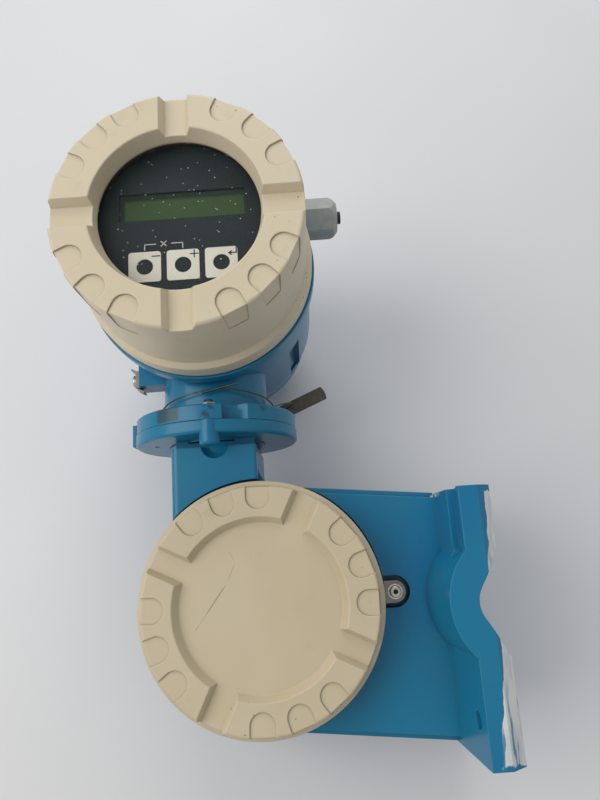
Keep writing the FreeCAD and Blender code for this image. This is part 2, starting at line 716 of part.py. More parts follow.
def make_display_module():
    top = DISPLAY_LEVEL
    body = turned([(0, top - 7.0, 0), (DISPLAY_R - 0.8, top - 7.0, 0.5), (DISPLAY_R, top - 4, 0),
                   (DISPLAY_R, top - 1.6, 0), (DISPLAY_R - 1.4, top, 0.3), (0, top, 0)])
    opening = Part.makeBox(LCD_W + 0.6, LCD_H + 0.6, 3.0,
                           Vector(-LCD_W / 2 - 0.3, LCD_UP - LCD_H / 2 - 0.3, top - 2.6))
    return at_display(body.cut(opening))


def make_lcd():
    return at_display(Part.makeBox(LCD_W, LCD_H, 1.2,
                                   Vector(-LCD_W / 2, LCD_UP - LCD_H / 2, DISPLAY_LEVEL - 2.6)))


def make_key_fields():
    fields = []
    for k in (-1, 0, 1):
        x = k * KEY_PITCH
        b = Part.makeBox(KEY_SIDE, KEY_SIDE, 0.3,
                         Vector(x - KEY_SIDE / 2, KEY_DOWN - KEY_SIDE / 2, DISPLAY_LEVEL))
        upright = []
        for e in b.Edges:
            if abs(e.Vertexes[0].Z - e.Vertexes[1].Z) > 0.1:
                upright.append(e)
        b = b.makeFillet(1.6, upright)
        b = b.cut(cyl(KEY_EYE_R + 0.3, 2, Vector(x, KEY_DOWN, DISPLAY_LEVEL - 1), Z))
        fields.append(b.common(cyl(DISPLAY_R - 0.3, 5, Vector(0, 0, DISPLAY_LEVEL - 1), Z)))
    return at_display(Part.makeCompound(fields))


def make_key_eyes():
    eyes = []
    for k in (-1, 0, 1):
        eyes.append(cyl(KEY_EYE_R, 0.4, Vector(k * KEY_PITCH, KEY_DOWN, DISPLAY_LEVEL), Z))
    return at_display(Part.makeCompound(eyes))


def make_electronics():
    top = DISPLAY_LEVEL - 7.0
    bottom = SEAT_Y - PARTITION_Y
    core = turned([(0, bottom, 0), (43.0, bottom, 1.0), (43.0, top, 1.0), (0, top, 0)])
    flat = Part.makeBox(100, 14, 100, Vector(-50, 34, bottom + 6))
    return at_display(core.cut(flat))


def make_window_glass():
    top = DISPLAY_COVER_H - WINDOW_SINK - LIP_T
    return at_display(turned([(0, top - GLASS_T, 0), (GLASS_R, top - GLASS_T, 0.3), (GLASS_R, top, 0.3), (0, top, 0)]))


def make_snap_ring():
    top = DISPLAY_COVER_H - WINDOW_SINK - LIP_T - GLASS_T
    ring = disc_ring(GLASS_R, SNAP_IN_R, SNAP_T, top - SNAP_T)
    gap = Part.makeBox(10, 5, 10, Vector(42, -2.5, top - 6))
    return at_display(ring.cut(gap))


def terminal_strip(length, ways):
    base = box(-length / 2, length / 2, -7, 7, 0, 9)
    tower = box(-length / 2, length / 2, -4, 4, 8.5, 15)
    pitch = length / ways
    cuts = []
    for i in range(ways):
        x = -length / 2 + pitch * (i + 0.5)
        cuts.append(box(x - 1.7, x + 1.7, -8, -4.8, 3, 7))
        cuts.append(box(x - 1.7, x + 1.7, 4.8, 8, 3, 7))
        cuts.append(cyl(1.8, 8, Vector(x, 0, 11), Z))
    return base.fuse(tower).cut(cuts)


# ---- cable gland -----------------------------------------------------------------------------------------
def at_entry(shape):
    return facing_right(shape, ENTRY_FACE_X, ENTRY_Y, AXIS_Z + ENTRY_Z)


def make_gland_body():
    collar = hex_prism(GLAND_AF, GLAND_BODY_HEX_L, 0.0)
    collar = collar.common(turned([
        (0, 0, 0), (GLAND_CORNER_R, 0, 0.8), (GLAND_CORNER_R, GLAND_BODY_HEX_L, 0.8), (0, GLAND_BODY_HEX_L, 0),
    ]))
    stub = cyl(ENTRY_BORE_R - 0.25, 12.0, Vector(0, 0, -12.0), Z)
    spout = cyl(GLAND_SPOUT_R, 12.0, Vector(0, 0, GLAND_BODY_HEX_L - 0.5), Z)
    body = collar.fuse([stub, spout])
    body = body.cut([cyl(6.8, 60, Vector(0, 0, -20), Z), cyl(GLAND_SPOUT_R - 1.6, 30, Vector(0, 0, 8.0), Z)])
    return at_entry(body)


def make_gland_nut():
    z0 = GLAND_BODY_HEX_L + 0.8
    z1 = z0 + GLAND_NUT_L
    nut = hex_prism(GLAND_AF, GLAND_NUT_L, z0)
    dome = turned([
        (0, z0, 0), (GLAND_CORNER_R, z0, 0.8), (GLAND_CORNER_R, z1 - 6.5, 0),
        (GLAND_CORNER_R - 1.2, z1 - 3.0, 4.0), (GLAND_CORNER_R - 4.4, z1, 1.6), (0, z1, 0),
    ])
    nut = nut.common(dome)
    nut = nut.cut([
        cyl(GLAND_SPOUT_R + FIT, z1 - 5.0 - z0, Vector(0, 0, z0 - 1), Z),
        cyl(PLUG_R + 1.8, 60, Vector(0, 0, z0 - 1), Z),
    ])
    return at_entry(nut)


def make_gland_seal():
    z0 = 8.0
    z1 = GLAND_BODY_HEX_L + 0.8 + GLAND_NUT_L
    wide = GLAND_SPOUT_R - 2.0
    body = turned([
        (0, z0, 0), (wide, z0, 0.4), (wide, z1 - 7.3, 0.6),
        (PLUG_R + 1.4, z1 - 6.2, 0), (PLUG_R + 1.4, z1 - 1.6, 0), (PLUG_R, z1 - 0.8, 0),
        (PLUG_R, z1 + PLUG_PROUD, 0.4), (0, z1 + PLUG_PROUD, 0),
    ])
    return at_entry(body)


# ---- ground terminal -----------------------------------------------------------------------------------


def make_ground_clamp():
    # local +Z is outwards (world -X)
    plate = box(-5.6, 5.6, -5.6, 5.6, 0, 3.0)
    plate = plate.cut(cyl(2.5 + HOLE_FIT, 10, Vector(0, 0, -2), Z))
    tab = box(-4.0, 4.0, -0.6, 0.6, 0, 4.6)
    tab.rotate(O, X, 32)
    tab.translate(Vector(0, -5.0, 2.2))
    tail = box(-4.0, 4.0, -0.6, 0.6, -4.0, 0)
    tail.rotate(O, X, 28)
    tail.translate(Vector(0, 6.5, 1.6))
    link = box(-4.0, 4.0, 5.0, 7.0, 0.6, 1.8)
    plate = plate.fuse(link)
    return plate.fuse([tab, tail])


def world_ground(shape):
    # local +Z to world -X, local +Y to world +Z
    s = shape.copy()
    s.rotate(O, Z, 90)
    s.rotate(O, Y, -90)
    s.translate(Vector(GROUND_X, GROUND_Y, GROUND_Z))
    return s


def make_ground_screw():
    head = turned([(0, 3.0, 0), (3.9, 3.0, 0.2), (3.9, 5.2, 0.9), (0, 6.4, 0)])
    slot = box(-5, 5, -0.6, 0.6, 4.9, 8)
    return world_ground(head.cut(slot).fuse(cyl(2.5, 16.0, Vector(0, 0, -12.0), Z)))


# ---- tag on its wire ------------------------------------------------------------------------------------
TAG_TILT = 22.5
TAG_X = 57.0
TAG_Y = 27.0
TAG_Z = 24.1
TAG_END_R = 12.0
TAG_L = 34.0
TAG_W = 9.6
TAG_HOLE_AT = 13.8
TAG_HOLE_R = 1.7
WIRE_R = 0.45


def make_tag_plate():
    half = TAG_W / 2
    plate = box(-TAG_L / 2, TAG_L / 2 - 5.0, -0.5, 0.5, -half, half)
    corners = []
    for e in plate.Edges:
        across = abs(e.Vertexes[0].Y - e.Vertexes[1].Y) > 0.5
        if across and e.Vertexes[0].X < 0:
            corners.append(e)
    plate = plate.makeFillet(1.4, corners)
    end = box(TAG_L / 2 - 6.0, TAG_L / 2, -0.5, 0.5, -half, half)
    end = end.common(cyl(TAG_END_R, 4, Vector(TAG_L / 2 - TAG_END_R, -2, 0), Y))
    plate = plate.fuse(end).removeSplitter()
    plate = plate.cut(cyl(TAG_HOLE_R, 4, Vector(-TAG_HOLE_AT, -2, 0), Y))
    plate.rotate(O, Y, -TAG_TILT)
    plate.translate(Vector(TAG_X, TAG_Y, TAG_Z))
    return plate


def wire_arc(a, mid, b):
    arc = Part.Arc(a, mid, b)
    circle = arc.toShape().Curve
    first = arc.toShape().FirstParameter
    sweep = math.degrees(arc.toShape().LastParameter - first)
    tangent = circle.tangent(first)[0]
    section = Part.Face(Part.Wire(Part.makeCircle(WIRE_R, a, tangent)))
    return section.revolve(circle.Center, circle.Axis, sweep)


def make_tag_wire():
    lie = LOCK_T + 0.35 + WIRE_R
    left = Vector(-35.6, 0, lie)
    crest = Vector(4.0, -37.0, 21.0)
    right = Vector(37.5, -4.0, 15.5)
    hang = TAG_HOLE_R - WIRE_R - 0.35
    hole = Vector(TAG_X - TAG_HOLE_AT * math.cos(math.radians(TAG_TILT)), TAG_Y,
                  TAG_Z - TAG_HOLE_AT * math.sin(math.radians(TAG_TILT)) + hang)
    behind = Vector(31.0, 33.0, 15.5)
    far = Vector(-10.0, 35.5, 12.2)
    loop = wire_arc(left, crest, right).fuse([
        wire_arc(right, hole, behind),
        wire_arc(behind, far, left),
        Part.makeSphere(WIRE_R * 1.02, left),
        Part.makeSphere(WIRE_R * 1.02, right),
        Part.makeSphere(WIRE_R * 1.02, behind),
    ])
    twist_from = Vector(-3.0, -37.2, 19.6)
    twist_to = Vector(17.5, -38.6, 23.6)
    run = twist_to.sub(twist_from)
    return loop.fuse(cyl(WIRE_R * 1.6, run.Length, twist_from, run))


def main():
    os.makedirs("parts", exist_ok=True)
    export("transmitter_housing", make_transmitter_housing())
    export("display_cover", facing_front(make_display_cover(), 0, SEAT_Y, AXIS_Z))
    seal = cover_ring_seal(THREAD_R)
    export("display_cover_seal", facing_front(seal, 0, SEAT_Y, AXIS_Z))
    export("window_glass", make_window_glass())
    export("window_snap_ring", make_snap_ring())
    export("display_module", make_display_module())
    export("lcd_panel", make_lcd())
    export("key_fields", make_key_fields())
    export("key_eyes", make_key_eyes())
    export("electronics_module", make_electronics())
    rear = make_blank_cover(REAR_COVER_H, REAR_FACE_R, REAR_RING_R, REAR_RING_H, REAR_THREAD_R, 12.0)
    rear_seat = BODY_REAR_Y + SEAT_GAP
    export("rear_cover", facing_rear(rear, 0, rear_seat, AXIS_Z))
    export("rear_cover_seal", facing_rear(cover_ring_seal(REAR_THREAD_R), 0, rear_seat, AXIS_Z))
    strip = facing_rear(terminal_strip(72.0, 9), 0, PARTITION_Y + PARTITION_T, AXIS_Z + 6)
    export("transmitter_terminals", strip)

    export("connection_housing", make_connection_housing())
    blank_ring_h = BLANK_COVER_H - BLANK_CROWN_H
    lower = make_blank_cover(BLANK_COVER_H, FACE_R, RING_R, blank_ring_h, THREAD_R, 63.5)
    export("connection_cover", facing_front(lower, CONN_X, CONN_SEAT_Y, CONN_Z))
    export("connection_cover_seal", facing_front(seal, CONN_X, CONN_SEAT_Y, CONN_Z))
    strip = facing_front(terminal_strip(64.0, 8), CONN_X, CONN_REAR_Y - 5.5, CONN_Z)
    export("connection_terminals", strip)
    export("cover_claw", make_claw())
    export("claw_screw", make_claw_screw())

    export("neck_seal", make_neck_seal())
    export("lock_ring", make_lock_ring())
    export("lock_screws", make_lock_screws())

    export("gland_body", make_gland_body())
    export("gland_nut", make_gland_nut())
    export("gland_plug", make_gland_seal())
    export("ground_clamp", world_ground(make_ground_clamp()))
    export("ground_screw", make_ground_screw())
    export("tag_plate", make_tag_plate())
    export("tag_wire", make_tag_wire())


main()
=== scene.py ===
import json
import math
from collections import namedtuple
import bpy
import bmesh
from mathutils import Matrix, Vector


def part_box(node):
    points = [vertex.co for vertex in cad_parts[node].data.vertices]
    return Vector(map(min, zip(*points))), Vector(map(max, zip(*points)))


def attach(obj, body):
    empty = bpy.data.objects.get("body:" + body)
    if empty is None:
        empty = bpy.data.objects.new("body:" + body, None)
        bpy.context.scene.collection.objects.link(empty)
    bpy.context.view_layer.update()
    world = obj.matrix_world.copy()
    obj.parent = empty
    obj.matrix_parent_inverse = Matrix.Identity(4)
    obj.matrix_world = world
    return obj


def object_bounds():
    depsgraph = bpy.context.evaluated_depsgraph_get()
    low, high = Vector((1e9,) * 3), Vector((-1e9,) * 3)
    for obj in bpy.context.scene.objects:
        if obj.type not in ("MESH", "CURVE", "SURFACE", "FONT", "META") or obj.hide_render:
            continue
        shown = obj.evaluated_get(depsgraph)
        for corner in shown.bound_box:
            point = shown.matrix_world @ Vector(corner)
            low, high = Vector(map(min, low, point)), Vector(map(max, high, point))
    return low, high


# Looks, lights and camera for the remote transmitter, around the solids of the pack.
# Metres in the row frame: the covers face -Y, the head is at the top (+Z), and the wall plate ends at X = 0.
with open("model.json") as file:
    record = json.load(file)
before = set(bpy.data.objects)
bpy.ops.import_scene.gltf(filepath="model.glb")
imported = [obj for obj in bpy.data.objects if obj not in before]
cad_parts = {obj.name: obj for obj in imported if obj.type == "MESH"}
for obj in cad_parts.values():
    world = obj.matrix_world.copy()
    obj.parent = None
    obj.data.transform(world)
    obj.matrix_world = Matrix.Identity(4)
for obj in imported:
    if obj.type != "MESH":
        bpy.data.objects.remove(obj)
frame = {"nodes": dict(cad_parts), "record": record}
cad_lo, cad_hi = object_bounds()
nodes = frame["nodes"]


# ---- node materials ----
class Mat:
    """A Principled material with short calls for the nodes that feed it."""

    RAY_SAMPLES = 4
    COAT_ROUGH = 0.12

    def __init__(self, name, rough=0.4, metal=0.0, spec=0.5, coat=0.0):
        self.m = bpy.data.materials.new(name)
        self.m.use_nodes = True
        self.t = self.m.node_tree
        self.p = self.t.nodes["Principled BSDF"]
        self.p.inputs["Roughness"].default_value = rough
        self.p.inputs["Metallic"].default_value = metal
        self.p.inputs["Specular IOR Level"].default_value = spec
        self.p.inputs["Coat Weight"].default_value = coat
        self.p.inputs["Coat Roughness"].default_value = self.COAT_ROUGH
        self.geo = self.t.nodes.new("ShaderNodeNewGeometry")
        self.sep = self.t.nodes.new("ShaderNodeSeparateXYZ")
        tex = self.t.nodes.new("ShaderNodeTexCoord")
        self.pos = tex.outputs["Object"]
        self.t.links.new(self.pos, self.sep.inputs[0])
        self.x, self.y, self.z = self.sep.outputs
        self.round = None

    def rounded(self, radius):
        """Lets sharp edges take the light as if they had this radius. Returns 1 on those edges."""
        n = self.t.nodes.new("ShaderNodeBevel")
        n.samples = self.RAY_SAMPLES
        n.inputs["Radius"].default_value = radius
        self.round = n.outputs["Normal"]
        same = self.t.nodes.new("ShaderNodeVectorMath")
        same.operation = "DOT_PRODUCT"
        self.t.links.new(self.round, same.inputs[0])
        self.t.links.new(self.geo.outputs["Normal"], same.inputs[1])
        return self.ramp(same.outputs["Value"], 0.90, 0.995, 1.0, 0.0)

    def openness(self, distance):
        """1 where a surface lies open, less in corners and grooves."""
        n = self.t.nodes.new("ShaderNodeAmbientOcclusion")
        n.samples = self.RAY_SAMPLES
        n.inputs["Distance"].default_value = distance
        return n.outputs["AO"]

    def put(self, value, socket):
        """Links a node's output to a socket, or sets the socket to a value."""
        if isinstance(value, bpy.types.NodeSocket):
            self.t.links.new(value, socket)
        else:
            socket.default_value = value

    def math(self, op, a, b=0.0, clamp=False):
        n = self.t.nodes.new("ShaderNodeMath")
        n.operation = op
        n.use_clamp = clamp
        self.put(a, n.inputs[0])
        self.put(b, n.inputs[1])
        return n.outputs[0]

    def ramp(self, value, lo, hi, to_lo=0.0, to_hi=1.0):
        """Smooth step from to_lo at lo to to_hi at hi. lo may be the larger one."""
        n = self.t.nodes.new("ShaderNodeMapRange")
        n.interpolation_type = "SMOOTHSTEP"
        self.put(value, n.inputs["Value"])
        for key, v in (("From Min", lo), ("From Max", hi), ("To Min", to_lo), ("To Max", to_hi)):
            n.inputs[key].default_value = v
        return n.outputs["Result"]

    def noise(self, scale, detail=3.0, stretch=(1, 1, 1)):
        mp = self.t.nodes.new("ShaderNodeMapping")
        mp.inputs["Scale"].default_value = stretch
        self.t.links.new(self.pos, mp.inputs["Vector"])
        n = self.t.nodes.new("ShaderNodeTexNoise")
        n.inputs["Scale"].default_value = scale
        n.inputs["Detail"].default_value = detail
        self.t.links.new(mp.outputs[0], n.inputs["Vector"])
        return n.outputs["Fac"]

    def mix(self, fac, a, b):
        n = self.t.nodes.new("ShaderNodeMix")
        n.data_type = "RGBA"
        self.put(fac, n.inputs[0])
        for v, s in ((a, n.inputs[6]), (b, n.inputs[7])):
            self.put(v if isinstance(v, bpy.types.NodeSocket) else (*v, 1.0), s)
        return n.outputs[2]

    def bump(self, height, distance, strength=1.0):
        n = self.t.nodes.new("ShaderNodeBump")
        n.inputs["Distance"].default_value = distance
        n.inputs["Strength"].default_value = strength
        self.t.links.new(height, n.inputs["Height"])
        if self.round:
            self.t.links.new(self.round, n.inputs["Normal"])
        self.t.links.new(n.outputs[0], self.p.inputs["Normal"])

    def specks(self, scale, radius, share, front=False):
        """1 inside round dots, in a share of the cells. With front, the cells lie flat in X and Z."""
        n = self.t.nodes.new("ShaderNodeTexVoronoi")
        n.inputs["Scale"].default_value = scale
        if front:
            n.voronoi_dimensions = "2D"
            flat = self.t.nodes.new("ShaderNodeCombineXYZ")
            self.t.links.new(self.x, flat.inputs[0])
            self.t.links.new(self.z, flat.inputs[1])
            self.t.links.new(flat.outputs[0], n.inputs["Vector"])
        else:
            self.t.links.new(self.pos, n.inputs["Vector"])
        dot = self.ramp(n.outputs["Distance"], radius * scale * 0.55, radius * scale, 1.0, 0.0)
        rgb = self.t.nodes.new("ShaderNodeSeparateColor")
        self.t.links.new(n.outputs["Color"], rgb.inputs[0])
        return self.math("MULTIPLY", dot, self.math("LESS_THAN", rgb.outputs[0], share))

    def near_segment(self, a, b, half, fade=0.004):
        """1 on a thin line from a to b, given as (x, z) pairs, and fading out at its sides and ends."""
        ax, az = a
        dx, dz = b[0] - ax, b[1] - az
        length = math.hypot(dx, dz)
        ux, uz = dx / length, dz / length
        px = self.math("SUBTRACT", self.x, ax)
        pz = self.math("SUBTRACT", self.z, az)
        along = self.math("ADD", self.math("MULTIPLY", px, ux), self.math("MULTIPLY", pz, uz))
        off = self.math("SUBTRACT", self.math("MULTIPLY", px, uz), self.math("MULTIPLY", pz, ux))
        on = self.ramp(self.math("ABSOLUTE", off), half, half * 2, 1.0, 0.0)
        start = self.ramp(along, 0.0, fade)
        end = self.ramp(along, length - fade, length, 1.0, 0.0)
        inside = self.math("MULTIPLY", start, end)
        return self.math("MULTIPLY", on, inside)

    def disc(self, x0, z0, radius, soft=0.0002):
        """1 within a radius of the axis along Y through (x0, z0)."""
        dx, dz = self.math("SUBTRACT", self.x, x0), self.math("SUBTRACT", self.z, z0)
        far = self.math("ADD", self.math("MULTIPLY", dx, dx), self.math("MULTIPLY", dz, dz))
        far = self.math("SQRT", far)
        return self.ramp(far, radius - soft, radius + soft, 1.0, 0.0)

    def between(self, value, lo, hi, soft=0.0015):
        """1 from lo to hi, with soft ends."""
        above = self.ramp(value, lo - soft, lo + soft)
        below = self.ramp(value, hi - soft, hi + soft, 1.0, 0.0)
        return self.math("MULTIPLY", above, below)

    def facing(self, direction, cos_from, cos_to):
        """1 where the surface looks along a direction."""
        n = self.t.nodes.new("ShaderNodeVectorMath")
        n.operation = "DOT_PRODUCT"
        self.t.links.new(self.geo.outputs["Normal"], n.inputs[0])
        n.inputs[1].default_value = Vector(direction).normalized()
        return self.ramp(n.outputs["Value"], cos_from, cos_to)

    def colour(self, value):
        self.put(value, self.p.inputs["Base Color"])

    def rough(self, value):
        self.put(value, self.p.inputs["Roughness"])


# ---- paint, with its wear and dirt, painted shade in its corners and painted highlights on its edges ----
EDGE_R = 0.0009
PLATE_CHAMFER = (0.5, -0.87, 0.0)
RAGGED_BY = 0.0040
BARE_METAL = (0.70, 0.70, 0.685), (0.57, 0.60, 0.61)
CHIP_X, CHIP_Z = (-0.0236, -0.0214), (0.0706, 0.0730)

# A bare patch lies between top and low. It reaches edge from X = 0, and slope times further below knee.
# Streaks of paint are left in it, from most at the first height to least at the second.
Patch = namedtuple("Patch", "top low edge knee slope streaks")
BARE_PATCHES = (
    Patch(top=0.0690, low=0.0290, edge=0.0040, knee=0.056, slope=0.115, streaks=(0.020, 0.045)),
    Patch(top=-0.0030, low=-0.0625, edge=0.0058, knee=-0.012, slope=0.145, streaks=(-0.045, -0.020)),
)


def worn_plate_edge(m, base):
    """Paint rubbed off the front edge of the wall plate: two long patches and a chip at the top."""
    ragged = m.math("SUBTRACT", m.noise(170.0, 6.0, (1.0, 1.0, 0.45)), 0.5)
    ragged = m.math("MULTIPLY", ragged, RAGGED_BY)
    streak = m.ramp(m.noise(300.0, 4.0, (1.0, 1.0, 0.14)), 0.55, 0.62)
    white = m.mix(m.ramp(m.noise(240.0, 4.0, (1.0, 1.0, 0.2)), 0.42, 0.6), *BARE_METAL)
    bare = 0.0
    for p in BARE_PATCHES:
        reach = m.math("MAXIMUM", m.math("SUBTRACT", p.knee, m.z), 0.0)
        reach = m.math("ADD", m.math("MULTIPLY", reach, p.slope), ragged)
        depth = m.math("ADD", m.math("ADD", m.x, p.edge), reach)
        height = m.math("ADD", m.z, m.math("MULTIPLY", ragged, 2.0))
        patch = m.math("MULTIPLY", m.ramp(depth, -0.0001, 0.0002), m.between(height, p.low, p.top, 0.0005))
        kept = m.math("MULTIPLY", streak, m.ramp(m.z, *p.streaks, 0.85, 0.15))
        patch = m.math("MULTIPLY", patch, m.math("SUBTRACT", 1.0, kept))
        bare = m.math("MAXIMUM", bare, patch)
    bare = m.math("MULTIPLY", bare, m.facing(PLATE_CHAMFER, 0.80, 0.86))
    chip = m.math("MULTIPLY", m.between(m.z, *CHIP_Z, 0.0005), m.between(m.x, *CHIP_X, 0.0006))
    chip = m.math("MULTIPLY", chip, m.ramp(m.noise(500.0, 3.0), 0.47, 0.53))
    bare = m.math("MAXIMUM", bare, chip)
    m.rough(m.ramp(bare, 0.0, 1.0, 0.27, 0.62))
    return m.mix(bare, base, white)


def enamel(name, deep, teal, worn_plate=False, stains=()):
    """Blue paint. A stain is a zone in x and z on the front, with the scale and cut of its noise."""
    cloudy, shaded, wear_and_highlight = (0.030, 0.120, 0.180), (0.006, 0.040, 0.075), (0.070, 0.300, 0.400)
    dusty, stained = (0.16, 0.25, 0.29), (0.028, 0.046, 0.036)
    m = Mat(name, rough=0.27, spec=0.28, coat=0.08)
    free = m.openness(0.005)
    edge = m.math("MULTIPLY", m.rounded(EDGE_R), m.ramp(free, 0.75, 0.95))
    base = m.mix(m.ramp(m.noise(9.0, 2.0), 0.35, 0.65), deep, teal)
    cloud = m.ramp(m.noise(38.0, 5.0), 0.48, 0.75, 0.0, 0.22)
    base = m.mix(cloud, base, cloudy)
    # painted shade: the blue turns darker in corners and grooves, where little of the surface lies open
    base = m.mix(m.ramp(free, 0.75, 0.35, 0.0, 0.55), base, shaded)
    # lighter on open edges: partly rubbed paint, partly a painted highlight
    base = m.mix(m.math("MULTIPLY", edge, 0.6), base, wear_and_highlight)
    dust = m.math("MULTIPLY", m.specks(230.0, 0.00018, 0.4), 0.4)
    base = m.mix(dust, base, dusty)
    for (x0, x1), (z0, z1), scale, cut in stains:
        zone = m.math("MULTIPLY", m.between(m.x, x0, x1), m.between(m.z, z0, z1, 0.0008))
        zone = m.math("MULTIPLY", zone, m.ramp(m.y, -0.020, -0.026))
        smear = m.math("MULTIPLY", zone, m.ramp(m.noise(scale, 6.0), cut, cut + 0.06))
        base = m.mix(m.math("MULTIPLY", smear, 0.75), base, stained)
    if worn_plate:
        base = worn_plate_edge(m, base)
    m.colour(base)
    m.bump(m.noise(380.0, 3.0), 0.00005, 0.4)
    return m.m


def beige(name, dull, bright, chips, scratch=()):
    """Cream paint. Chips are zones in x and z with a share of dots, scratches are lines in x and z."""
    grimy, shaded, wear_and_highlight = (0.36, 0.31, 0.22), (0.27, 0.21, 0.13), (0.80, 0.72, 0.58)
    pitted, chipped, scratched = (0.22, 0.19, 0.13), (0.13, 0.115, 0.085), (0.20, 0.165, 0.11)
    m = Mat(name, rough=0.42, spec=0.45)
    free = m.openness(0.004)
    edge = m.math("MULTIPLY", m.rounded(EDGE_R), m.ramp(free, 0.75, 0.95))
    base = m.mix(m.ramp(m.noise(14.0, 3.0), 0.3, 0.7), dull, bright)
    grime = m.ramp(m.noise(70.0, 6.0), 0.60, 0.80, 0.0, 0.28)
    base = m.mix(grime, base, grimy)
    # painted shade: the cream turns darker in corners and grooves, where little of the surface lies open
    base = m.mix(m.ramp(free, 0.82, 0.45, 0.0, 0.6), base, shaded)
    # lighter on open edges: partly rubbed paint, partly a painted highlight
    base = m.mix(m.math("MULTIPLY", edge, 0.6), base, wear_and_highlight)
    pits = m.math("MULTIPLY", m.specks(240.0, 0.00026, 0.30), 0.5)
    base = m.mix(pits, base, pitted)
    for (x0, x1), (z0, z1), share in chips:
        zone = m.math("MULTIPLY", m.between(m.x, x0, x1), m.between(m.z, z0, z1))
        patch = m.math("MULTIPLY", zone, m.ramp(m.noise(150.0, 4.0), 0.48, 0.56))
        spot = m.math("MULTIPLY", patch, m.specks(420.0, 0.00055, share))
        base = m.mix(m.math("MULTIPLY", spot, 0.85), base, chipped)
    for start, end, half, depth in scratch:
        line = m.near_segment(start, end, half)
        line = m.math("MULTIPLY", line, m.ramp(m.noise(120.0, 2.0), 0.38, 0.5, 0.35, 1.0))
        base = m.mix(m.math("MULTIPLY", line, depth), base, scratched)
    m.colour(base)
    m.bump(m.noise(900.0, 2.0), 0.00003, 0.5)
    return m.m


# ---- metal, plastic and glass ----
def steel(name, colour, rough, grain=(1, 1, 1), dark=0.25, painted_shade=None):
    """Bare metal with dull patches. The last argument gives 0 to 1 where black is painted in as shade."""
    dull, black = (0.12, 0.11, 0.09), (0.025, 0.022, 0.018)
    m = Mat(name, rough=rough, metal=1.0)
    base = m.mix(m.ramp(m.noise(260.0, 4.0, grain), 0.4, 0.65, 0.0, dark), colour, dull)
    # painted shade: black where the last argument's mask is 1
    if painted_shade:
        base = m.mix(painted_shade(m), base, black)
    m.colour(base)
    m.bump(m.noise(700.0, 3.0, grain), 0.00005, 0.6)
    return m.m


def socket_shade(m):
    """Where black is painted in as shade: the socket of the claw's screw, and the gap between its head and
    its washer.
    """
    socket_r, gap_in_r, gap_out_r, gap_shade = 0.00140, 0.00305, 0.00350, 0.7
    lo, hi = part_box("claw_screw")
    cx, cz = (lo.x + hi.x) / 2, (lo.z + hi.z) / 2
    gap = m.math("MULTIPLY", m.disc(cx, cz, gap_out_r), m.math("SUBTRACT", 1.0, m.disc(cx, cz, gap_in_r)))
    return m.math("MAXIMUM", m.disc(cx, cz, socket_r), m.math("MULTIPLY", gap, gap_shade))


def plain(name, colour, other, rough, scale=160.0, spec=0.5, grain=0.00004):
    """Plastic, rubber or print that varies between two near colours."""
    m = Mat(name, rough=rough, spec=spec)
    m.colour(m.mix(m.ramp(m.noise(scale, 4.0), 0.35, 0.7), colour, other))
    m.bump(m.noise(scale * 4.0, 2.0), grain, 0.5)
    return m.m


def window():
    """Clear glass with a faint smear, and dust on its outer face."""
    clear, dusty = (0.10, 0.14, 0.14), (0.75, 0.76, 0.74)
    glass_alpha, dust_alpha = 0.04, 0.65
    m = Mat("window_glass", rough=0.05, spec=0.5)
    m.m.surface_render_method = "DITHERED"
    lo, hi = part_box("window_glass")
    outside = m.math("LESS_THAN", m.y, (lo.y + hi.y) / 2)
    coarse = m.specks(80.0, 0.00040, 0.55, front=True)
    fine = m.specks(125.0, 0.00032, 0.55, front=True)
    dust = m.math("MULTIPLY", m.math("MAXIMUM", coarse, fine), outside)
    smear = m.ramp(m.noise(22.0, 3.0), 0.45, 0.75, 0.0, 0.025)
    m.colour(m.mix(dust, clear, dusty))
    seen = m.math("ADD", m.math("ADD", smear, glass_alpha), m.math("MULTIPLY", dust, dust_alpha), clamp=True)
    m.put(seen, m.p.inputs["Alpha"])
    return m.m


def lcd():
    """Green liquid crystal glass, with the shadow of its frame along the top and the left."""
    m = Mat("lcd_glass", rough=0.4, spec=0.15)
    panel_lo, panel_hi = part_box("lcd_panel")
    # painted shadow of the frame along the top and the left
    top = m.ramp(m.z, panel_hi.z - 0.0048, panel_hi.z - 0.0022)
    left = m.ramp(m.x, panel_lo.x + 0.0016, panel_lo.x + 0.0034, 1.0, 0.0)
    frame_shadow = m.math("MAXIMUM", top, left)
    cells = m.mix(m.ramp(m.noise(30.0, 1.0), 0.3, 0.7), (0.046, 0.088, 0.026), (0.051, 0.094, 0.030))
    m.colour(m.mix(frame_shadow, cells, (0.018, 0.030, 0.014)))
    m.bump(m.noise(300.0, 1.0), 0.00001, 0.2)
    return m.m


DEEP = (0.006, 0.160, 0.325)
TEAL = (0.009, 0.188, 0.325)
display_lo, display_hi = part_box("display_cover")
lower_lo, lower_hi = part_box("connection_cover")
ring_lo, ring_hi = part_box("lock_ring")
neck_x = (ring_lo.x + ring_hi.x) / 2
display_z = (display_lo.z + display_hi.z) / 2
lower_x, lower_z = (lower_lo.x + lower_hi.x) / 2, (lower_lo.z + lower_hi.z) / 2

